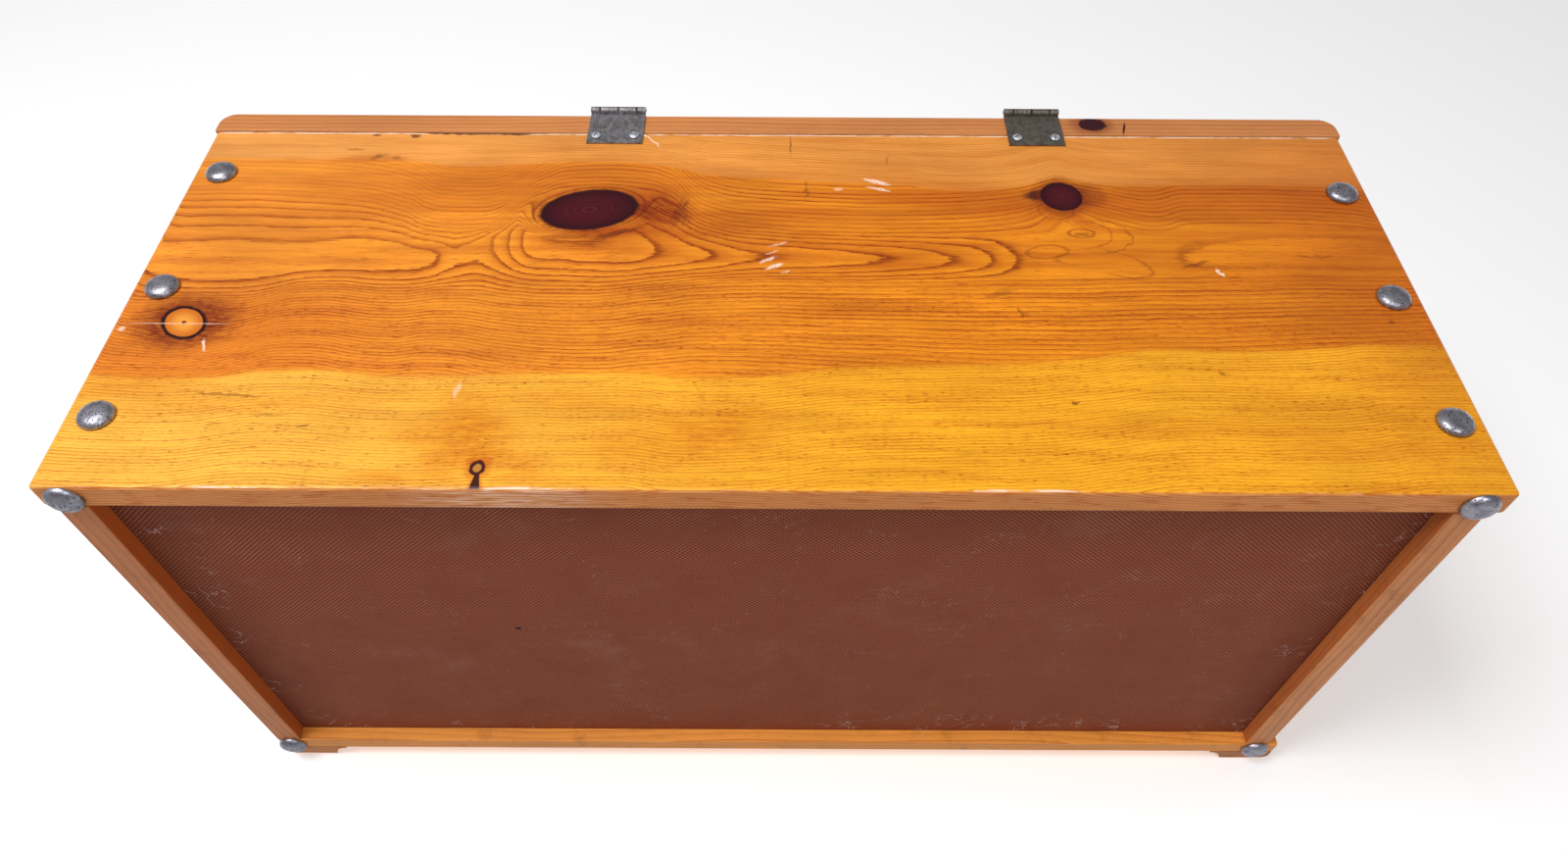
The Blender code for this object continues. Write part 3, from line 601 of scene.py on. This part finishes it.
    def inner_face(self):
        """The bare wood inside the box."""
        bare = self.scaled(BARE_WOOD, self.rise(self.fibre, 0.25, 0.75, 0.88, 1.08))
        return self.mix(self.soft_line * 0.35 + self.thin_line * 0.3, bare, STAIN)

    def with_edges(self, colour):
        """White wear along the bottom edge, the other faces, and the worn and cracked edge at the lid."""
        worn = self.noise(self.at(self.x * 0.06, 0, self.up * 0.3), 1.0, 3, 0.7)
        wear = self.edge_wear()
        reach_up = 0.9 + wear * 2.6 * worn
        rubbed = self.step(worn, 0.56 - wear * 0.2, 0.64 - wear * 0.1)
        bare = self.step(self.up, reach_up, reach_up * 0.5) * rubbed
        colour = self.mix(bare * 0.75, colour, SCUFF_WHITE)
        colour = self.mix(self.step(self.up, 0.9, 0.3), colour, self.bottom_face())
        inside = self.step(self.inward, 1.5, 2.5) * self.step(self.up, 0.5, 1.2)
        colour = self.mix(inside, colour, self.inner_face())
        seam_wear = self.step(worn, 0.38, 0.54) * self.step(self.up, 311.6, 312.8)
        colour = self.mix(seam_wear * 0.8, colour, SCUFF_WHITE)
        crack = self.noise(self.at(self.x * 0.06, 0, 0), 1.0, 3, 0.7)
        crack = crack * self.rise(abs(self.x - 214), 34, 50, 1, 0.3)
        in_crack = self.step(self.up, 315.0 - crack * 7.0, 315.3 - crack * 5.6)
        return self.mix(in_crack * 0.9, colour, BARK_DIRT_AND_SHADE)

    def made(self):
        colour = self.with_lines(self.plain_wood())
        colour = self.with_pores(colour)
        colour = self.with_loose_arcs(colour)
        colour = self.with_marks(colour)
        colour = self.with_edges(colour)
        height = (self.fibre - 0.5) * 0.00005 - self.thin_line * self.bold * 0.00002
        return self.finish(colour, self.rise(self.fibre, 0.2, 0.8, 0.34, 0.46), height, 0.2)


# Pine of the other boards

# Each board's look is its wood between the ring lines and on them.
FRONT_PINE = (linear(244, 158, 68), linear(186, 98, 38))
LID_PINE = (linear(204, 131, 74), linear(158, 88, 44))
LEFT_PINE = (linear(222, 144, 86), linear(170, 94, 48))
RIGHT_PINE = (linear(206, 128, 78), linear(162, 86, 46))
STILE_PINE = (linear(206, 128, 66), linear(150, 74, 30))
# Painted shade for the boards' inner faces in the recess under the box.
RECESS_SHADE_ORANGE = linear(186, 84, 22)

# The marks on the lid's back edge are (x, z, half length, half height, tilt in degrees).
LID_KNOTS = [(-230, 333.5, 10.5, 7.5), (-253, 329, 0.7, 6, 14)]


def with_knots(s, colour, knots, ragged):
    """The colour with knots that show on the board's back edge alone."""
    on_back = s.step(s.y, 150, 186)
    for knot in knots:
        away = s.ellipse(s.at(s.x, 0, s.z), *knot) + ragged
        colour = s.mix(s.step(away, 1.9, 1.0) * on_back * 0.5, colour, RED_HALO)
        colour = s.mix(s.step(away, 1.05, 0.9) * on_back, colour, s.mix(0.5, KNOT_PURPLE, KNOT_DARK))
    return colour


def in_shaded_recess(s):
    """1 on the inner faces between the bottom panel and the boards' bottom, where painted shade is laid, and
    0 elsewhere.
    """
    height = s.step(s.z, BOARD_BOTTOM + 0.3, BOARD_BOTTOM + 1.2) * s.step(s.z, 30, 24)
    return height * s.step(abs(s.x), 384.5, 383.5) * s.step(s.y, -185, -184)


def board_pine(name, along, spacing, seed, woods, knots=(), recess_shade_share=0.0):
    """Pine whose growth rings run along X or Y, a little dirtier near its foot, with painted shade in its
    recess where asked.
    """
    s = Surface(name)
    wood, line_wood = woods
    run, across = (s.x, s.y) if along == "x" else (s.y, s.x)
    across = across + seed * 37
    up = s.z + seed * 61
    bend = (s.noise(s.at(run * 0.3, across * 0.8 + seed * 500, up * 0.8), 0.007, 3, 0.5) - 0.5) * 24
    rings = (s.compute("SQRT", across * across * 0.5 + up * up) + bend) / spacing
    ring = s.compute("FLOOR", rings)
    within = rings - ring
    bold = s.rise(s.chance(ring), 0, 1, 0.35, 1)
    line = s.step(within, 0.2, 0.9) * 0.5 + s.step(within, 0.7, 0.92) * 0.5
    line = line * s.step(within, 1.0, 0.95) * bold
    fibre = s.noise(s.at(run * 0.04, across * 1.4, up * 1.4), 1.0, 3, 0.65)
    broad = s.noise(s.at(run * 0.4, across, up), 0.02, 3)
    light = s.rise(broad, 0.3, 0.7, 0.88, 1.09) * s.rise(fibre, 0.25, 0.75, 0.86, 1.08)
    colour = s.scaled(s.mix(line * 0.75, wood, line_wood), light)
    flecks = s.noise(s.at(run * 0.12, across * 1.2, up * 1.2), 1.0, 1)
    colour = s.mix(s.step(flecks, 0.66, 0.76) * 0.5, colour, line_wood)
    if knots:
        ragged = (s.noise(s.at(run, across, up), 0.16, 3, 0.6) - 0.5) * 0.6
        colour = with_knots(s, colour, knots, ragged)
    smudge = s.step(s.noise(s.at(run, across, up), 0.03, 4, 0.7), 0.52, 0.7)
    colour = s.mix(smudge * s.rise(s.z, 30, 8, 0.06, 0.3), colour, BARK_DIRT_AND_SHADE)
    # Painted shade on the inner faces in the recess.
    if recess_shade_share:
        colour = s.mix(in_shaded_recess(s) * recess_shade_share, colour, RECESS_SHADE_ORANGE)
    return s.finish(colour, s.rise(fibre, 0.2, 0.8, 0.38, 0.5), (fibre - 0.5) * 0.00006, 0.25)


# Hardboard

WIRE_PITCH = 1.667
PANEL_DARK = linear(148, 72, 46)
PANEL_LIGHT = linear(178, 95, 62)
DIMPLE_BROWN = linear(36, 11, 6)
DUST_GREY = linear(196, 168, 164)
LINT_WHITE = linear(222, 206, 204)
SPECK_WHITE = linear(214, 200, 196)
HOLE_SHADE_BLACK = (0.003, 0.002, 0.002, 1)
PANEL_HOLE = (175.7, 7.4, 2.2, 1.8)


def wire_dimples(s):
    """1 in the dimples that a plain wire cloth pressed into the sheet, and 0 between them."""
    drift = (s.noise(s.at(s.x, s.y, 0), 0.01, 2) - 0.5) * 3
    turn = math.pi / WIRE_PITCH
    cloth = s.compute("COSINE", (s.x + drift) * turn) * s.compute("COSINE", (s.y - drift) * turn)
    return s.step(cloth, -0.2, 0.6)


def with_lint(s, tone):
    """The sheet's colour with white strands gathered near its edges, and specks."""
    near_edge = s.compute("MAXIMUM", s.step(s.y, -125, -160), s.step(abs(s.x), 345, 378))
    strand = s.step(abs(s.noise(s.at(s.x, s.y, 0), 0.07, 2, 0.5) - 0.5), 0.01, 0.003)
    gathered = s.step(s.noise(s.at(s.x, s.y, 90), 0.03, 2), 0.55, 0.65)
    tone = s.mix(strand * gathered * s.rise(near_edge, 0, 1, 0.1, 0.6), tone, LINT_WHITE)
    specks = s.step(s.noise(s.at(s.x, s.y, 40), 0.35, 2, 0.5), 0.74, 0.78)
    return s.mix(specks * 0.55, tone, SPECK_WHITE)


def hardboard():
    """Hardboard's screen side: dimples, matted fibres, dust, lint, painted shade near its edges and one small
    hole painted black.
    """
    s = Surface("hardboard_screen_side")
    flat = s.at(s.x, s.y, 0)
    dimple = wire_dimples(s)
    fibre = s.noise(flat, 0.9, 4, 0.7)
    broad = s.noise(flat, 0.022, 5, 0.65)
    tone = s.mix(s.rise(broad, 0.3, 0.7), PANEL_DARK, PANEL_LIGHT)
    tone = s.scaled(tone, s.rise(fibre, 0.3, 0.7, 0.8, 1.22))
    pressed = s.rise(broad, 0.35, 0.6, 0.6, 1) * dimple
    tone = s.mix(pressed * 0.95, tone, DIMPLE_BROWN)
    dust = s.step(s.noise(flat, 0.012, 5, 0.75), 0.52, 0.75)
    tone = s.mix(dust * 0.09, tone, DUST_GREY)
    # Painted shade: darker towards both ends and towards the back board, where the boards shade the sheet.
    tone = s.scaled(tone, s.rise(abs(s.x), 335, 378, 1, 0.72) * s.rise(s.y, 110, 168, 1, 0.84))
    tone = with_lint(s, tone)
    # Painted shade: the small hole is a black spot standing in for its dark inside.
    hole = s.ellipse(s.at(s.x, 0, s.y), *PANEL_HOLE)
    tone = s.mix(s.step(hole, 1.1, 0.8), tone, HOLE_SHADE_BLACK)
    return s.finish(tone, 0.7, (fibre - 0.5) * 0.00012 - dimple * 0.00018, 0.2)


# Metals, each with the screen colours of its bright and its dull patches

STUD_NICKEL = ((178, 176, 186), (144, 142, 152))
FOOT_NICKEL = ((184, 182, 194), (144, 142, 154))
RIGHT_STEEL = ((168, 166, 170), (134, 131, 132))
LEFT_STEEL = ((138, 131, 122), (120, 112, 101))
SCREW_BRIGHT = linear(214, 220, 232)
SCREW_DULL = linear(150, 154, 166)
PIT_DARKNESS = 0.4


def metal(name, shades, pit_scale, roughness, pitted, shaded_seams=()):
    """Old metal with dull patches and dark pits, and painted shade in the seams across the hinge's knuckles.
    """
    s = Surface(name)
    bright, dull = shades
    broad = s.noise(s.place, pit_scale * 0.25, 4, 0.6)
    fine = s.noise(s.place, pit_scale * 2.2, 3, 0.6)
    spread = s.noise(s.place, pit_scale * 0.35, 2, 0.5)
    pits = s.step(s.cells(s.place, pit_scale), 0.42, 0.2) * s.step(spread, 0.38, 0.52)
    tone = s.mix(s.step(broad, 0.38, 0.64), linear(*bright), linear(*dull))
    tone = s.scaled(tone, s.rise(fine, 0.3, 0.7, 0.84, 1.1))
    tone = s.mix(pits * pitted, tone, linear(*[PIT_DARKNESS * level for level in dull]))
    # Painted shade in the gaps between the hinge's knuckles.
    for seam in shaded_seams:
        painted_seam_shade = s.step(abs(s.x - seam), 1.0, 0.5) * s.step(s.z, 341, 342)
        tone = s.mix(painted_seam_shade * 0.85, tone, BARK_DIRT_AND_SHADE)
    rough = s.rise(fine, 0.3, 0.7, roughness * 0.85, roughness * 1.2) + pits * 0.3
    height = (fine - 0.5) * 0.00003 + (broad - 0.5) * 0.00012 - pits * 0.00006
    return s.finish(tone, rough, height, 0.5, 1.0)


def old_zinc(screw):
    """Bright zinc on a screw's domed head, with painted shade in its slot and darker round its rim."""
    s = Surface("zinc_" + screw)
    low, high = (corner * PER_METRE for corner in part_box(screw))
    middle = (low + high) / 2
    upright = "_lid_" in screw
    across = s.y - middle.y if upright else s.z - middle.z
    depth = high.z - s.z if upright else high.y - s.y
    along = s.x - middle.x
    radius = s.compute("SQRT", across * across + along * along)
    blotch = s.noise(s.place, 900, 3, 0.6)
    tone = s.mix(s.step(blotch, 0.42, 0.62), SCREW_BRIGHT, SCREW_DULL)
    # Painted shade in the slot, and the head darker round its rim.
    painted_slot_shade = s.step(depth, 0.7, 0.82) * s.step(radius, 2.6, 2.35)
    rim = s.step(radius, 3.2, 3.6)
    tone = s.mix(s.compute("MAXIMUM", painted_slot_shade * 0.93, rim * 0.8), tone, BARK_DIRT_AND_SHADE)
    return s.finish(tone, s.rise(blotch, 0.35, 0.65, 0.36, 0.55), (blotch - 0.5) * 0.00012, 0.5, 0.6)


# Turned pieces

TURNED_SEGMENTS = 72
KNUCKLE_COUNT = 6
# The knuckle gaps that get painted shade, counted in knuckles from the leaf's end.
SHADED_SEAM_COUNTS = (1, 3, 5)
GLIDE_RADIUS = 10.5 * MM
GLIDE_HEIGHT = 5.5 * MM
GLIDE_EDGE = 0.35 * MM
GLIDE_UNDERCUT = 0.5 * MM
GLIDE_FULLNESS = 0.72
GLIDE_RISE = 0.92
NAIL_RADIUS = 1.2 * MM
NAIL_POINT = 4 * MM
GLIDE_STEPS = 26


def turned(name, profile, base, outward, material):
    """A closed body turned round an axis through base: profile goes from the inner tip to the outer one."""
    shape = bmesh.new()
    loop = []
    tips = []
    for radius, height in profile:
        if radius == 0:
            tips.append(shape.verts.new((0, 0, height)))
            continue
        angles = [2 * math.pi * i / TURNED_SEGMENTS for i in range(TURNED_SEGMENTS)]
        loop.append([shape.verts.new((radius * math.cos(a), radius * math.sin(a), height)) for a in angles])
    for i in range(TURNED_SEGMENTS):
        following = (i + 1) % TURNED_SEGMENTS
        shape.faces.new((tips[0], loop[0][following], loop[0][i]))
        shape.faces.new((tips[1], loop[-1][i], loop[-1][following]))
        for low, high in zip(loop, loop[1:]):
            shape.faces.new((low[i], low[following], high[following], high[i]))
    mesh = bpy.data.meshes.new(name)
    turn = Vector(outward).to_track_quat("Z", "Y").to_matrix().to_4x4()
    bmesh.ops.transform(shape, matrix=Matrix.Translation(base) @ turn, verts=shape.verts)
    shape.to_mesh(mesh)
    shape.free()
    mesh.shade_smooth()
    mesh.materials.append(material)
    piece = bpy.data.objects.new(name, mesh)
    bpy.context.scene.collection.objects.link(piece)
    return piece


def glide_profile(nail_length):
    """A glide's outline from its nail's point to the top of its dome, as pairs of radius and height."""
    points = [(0, -nail_length), (NAIL_RADIUS, NAIL_POINT - nail_length), (NAIL_RADIUS, 0)]
    points.append((GLIDE_RADIUS - GLIDE_UNDERCUT, 0))
    for step in range(GLIDE_STEPS + 1):
        turn = math.pi / 2 * step / GLIDE_STEPS
        radius = GLIDE_RADIUS * math.cos(turn) ** GLIDE_FULLNESS
        height = GLIDE_EDGE + (GLIDE_HEIGHT - GLIDE_EDGE) * math.sin(turn) ** GLIDE_RISE
        points.append((radius if step < GLIDE_STEPS else 0, height))
    return points


def make_glides():
    stud_metal = metal("glide_nickel", STUD_NICKEL, 620, 0.38, 0.9)
    foot_metal = metal("foot_nickel", FOOT_NICKEL, 420, 0.38, 0.5)
    for node in NODES:
        if not node.startswith(("foot", "back_stud")):
            continue
        low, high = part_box(node)
        middle = (low + high) / 2
        if node.startswith("foot"):
            outward = Vector((0, 0, -1))
            base = Vector((middle.x, middle.y, low.z + GLIDE_HEIGHT))
            nail = high.z - base.z
            surface = foot_metal
        else:
            outward = Vector((0, 1, 0))
            base = Vector((middle.x, high.y - GLIDE_HEIGHT, middle.z))
            nail = base.y - low.y
            surface = stud_metal
        piece = turned(node + "_domed", glide_profile(nail), base, outward, surface)
        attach(piece, "box")
        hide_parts(node)


def assign(names, material):
    for name in names:
        slots = NODES[name].data.materials
        slots.clear()
        slots.append(material)


def dress_hinges():
    for side, shades in (("right", RIGHT_STEEL), ("left", LEFT_STEEL)):
        low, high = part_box("hinge_" + side + "_back_leaf")
        knuckle = (high.x - low.x) * PER_METRE / KNUCKLE_COUNT
        shaded_seams = [high.x * PER_METRE - knuckle * count for count in SHADED_SEAM_COUNTS]
        steel = metal("hinge_steel_" + side, shades, 1000, 0.55, 0.9, shaded_seams)
        hinge = [name for name in NODES if name.startswith("hinge_" + side)]
        assign([name for name in hinge if name.endswith(("leaf", "pin"))], steel)


def dress_frame():
    assign(["back_board"], BackPine().made())
    assign(["front_board"], board_pine("pine_front", "x", 3.4, 1, FRONT_PINE))
    assign(["lid_board"], board_pine("pine_lid", "x", 4.2, 2, LID_PINE, LID_KNOTS))
    assign(["side_board_left"], board_pine("pine_side_left", "y", 3.0, 3, LEFT_PINE, recess_shade_share=0.5))
    assign(["side_board_right"], board_pine("pine_side_right", "y", 3.6, 4, RIGHT_PINE, recess_shade_share=0.85))
    assign(["front_stile_left", "front_stile_right"], board_pine("pine_stiles", "x", 3.0, 5, STILE_PINE))
    assign(["bottom_panel"], hardboard())
    dress_hinges()
    for name in NODES:
        if "screw" in name:
            assign([name], old_zinc(name))


# Stage and light

TABLE_GAP = 0.0003
STAGE_SIZE = 12.0
STUDIO_LIGHT = 0.3
TABLE_LIGHT = 0.3
UPPER_LIGHT = 0.9
FRONT_LIGHT = 0.35
TABLE_WHITE = (0.8, 0.8, 0.81, 1)
FLOOR_WHITE = (0.5, 0.5, 0.505, 1)
STAGE_GLOW = 0.31

# Each lamp is its place, its size and its power. Both aim at the middle of the box.
LAMP_TARGET = (0, 0, 0.17)
KEY_LAMP = ((0.95, 2.1, -0.15), 0.9, 40)
FILL_LAMP = ((-0.5, 1.7, -1.0), 0.5, 9)


def stage_material(name, shade):
    """White sheet that is seen from its front only, lets all other light through and shows shadows."""
    material = bpy.data.materials.new(name)
    material.use_nodes = True
    nodes = material.node_tree.nodes
    links = material.node_tree.links
    nodes.clear()
    output = nodes.new("ShaderNodeOutputMaterial")
    seen = nodes.new("ShaderNodeMath")
    seen.operation = "MULTIPLY"
    path = nodes.new("ShaderNodeLightPath")
    face = nodes.new("ShaderNodeNewGeometry")
    front = nodes.new("ShaderNodeMath")
    front.operation = "SUBTRACT"
    front.inputs[0].default_value = 1.0
    links.new(face.outputs["Backfacing"], front.inputs[1])
    links.new(path.outputs["Is Camera Ray"], seen.inputs[0])
    links.new(front.outputs[0], seen.inputs[1])
    clear = nodes.new("ShaderNodeBsdfTransparent")
    white = nodes.new("ShaderNodeBsdfDiffuse")
    white.inputs["Color"].default_value = shade
    glow = nodes.new("ShaderNodeEmission")
    glow.inputs["Color"].default_value = (1, 1, 1, 1)
    glow.inputs["Strength"].default_value = STAGE_GLOW
    both = nodes.new("ShaderNodeAddShader")
    links.new(white.outputs[0], both.inputs[0])
    links.new(glow.outputs[0], both.inputs[1])
    choice = nodes.new("ShaderNodeMixShader")
    links.new(seen.outputs[0], choice.inputs[0])
    links.new(clear.outputs[0], choice.inputs[1])
    links.new(both.outputs[0], choice.inputs[2])
    links.new(choice.outputs[0], output.inputs["Surface"])
    return material


def stage_sheet(name, centre, normal, material):
    """A square sheet facing along normal."""
    sheet = bpy.data.meshes.new(name)
    shape = bmesh.new()
    bmesh.ops.create_grid(shape, x_segments=1, y_segments=1, size=STAGE_SIZE / 2)
    shape.to_mesh(sheet)
    shape.free()
    sheet.materials.append(material)
    placed = bpy.data.objects.new(name, sheet)
    turn = Vector(normal).to_track_quat("Z", "Y").to_matrix().to_4x4()
    placed.matrix_world = Matrix.Translation(centre) @ turn
    bpy.context.scene.collection.objects.link(placed)


def make_world():
    """Even light, stronger from above, from the front and from the white table, and white for the camera."""
    world = bpy.data.worlds.new("studio")
    bpy.context.scene.world = world
    world.use_nodes = True
    nodes = world.node_tree.nodes
    links = world.node_tree.links
    light = nodes["Background"]
    light.inputs["Color"].default_value = (1, 1, 1, 1)
    towards = nodes.new("ShaderNodeTexCoord")
    parts = nodes.new("ShaderNodeSeparateXYZ")
    links.new(towards.outputs["Generated"], parts.inputs[0])

    def ramp(axis, low, high, level):
        made = nodes.new("ShaderNodeMapRange")
        made.inputs["From Min"].default_value = low
        made.inputs["From Max"].default_value = high
        made.inputs["To Max"].default_value = level
        links.new(parts.outputs[axis], made.inputs["Value"])
        return made.outputs[0]

    def joined(operation, first, second):
        made = nodes.new("ShaderNodeMath")
        made.operation = operation
        for socket, value in zip(made.inputs, (first, second)):
            if isinstance(value, float):
                socket.default_value = value
            else:
                links.new(value, socket)
        return made.outputs[0]

    front = joined("MULTIPLY", ramp("Y", 0, -0.6, FRONT_LIGHT), ramp("Z", -0.2, 0.2, 1.0))
    upper = joined("MULTIPLY", ramp("Z", 0, 0.6, UPPER_LIGHT), ramp("Y", 0.3, -0.1, 1.0))
    table = joined("ADD", ramp("Y", 0.2, -0.3, TABLE_LIGHT), STUDIO_LIGHT)
    links.new(joined("ADD", table, joined("ADD", upper, front)), light.inputs["Strength"])
    white = nodes.new("ShaderNodeBackground")
    white.inputs["Color"].default_value = (1, 1, 1, 1)
    white.inputs["Strength"].default_value = 1.0
    path = nodes.new("ShaderNodeLightPath")
    choice = nodes.new("ShaderNodeMixShader")
    links.new(path.outputs["Is Camera Ray"], choice.inputs[0])
    links.new(light.outputs[0], choice.inputs[1])
    links.new(white.outputs[0], choice.inputs[2])
    links.new(choice.outputs[0], nodes["World Output"].inputs["Surface"])


def lamp(name, place, size, power):
    """A square lamp that aims at the middle of the box."""
    data = bpy.data.lights.new(name, "AREA")
    data.shape = "SQUARE"
    data.size = size
    data.energy = power
    placed = bpy.data.objects.new(name, data)
    aim = Vector(LAMP_TARGET) - Vector(place)
    placed.matrix_world = Matrix.Translation(place) @ aim.to_track_quat("-Z", "Y").to_matrix().to_4x4()
    bpy.context.scene.collection.objects.link(placed)


def make_stage():
    low = CAD_BOUNDS[0]
    stage_sheet("table", (0, low[1] - TABLE_GAP, 0), (0, 1, 0), stage_material("table_white", TABLE_WHITE))
    stage_sheet("floor", (0, 0, low[2] - TABLE_GAP), (0, 0, 1), stage_material("floor_white", FLOOR_WHITE))
    make_world()
    lamp("key", *KEY_LAMP)
    lamp("fill", *FILL_LAMP)


make_camera()
dress_frame()
make_glides()
make_stage()
bpy.context.scene.view_settings.view_transform = "Standard"
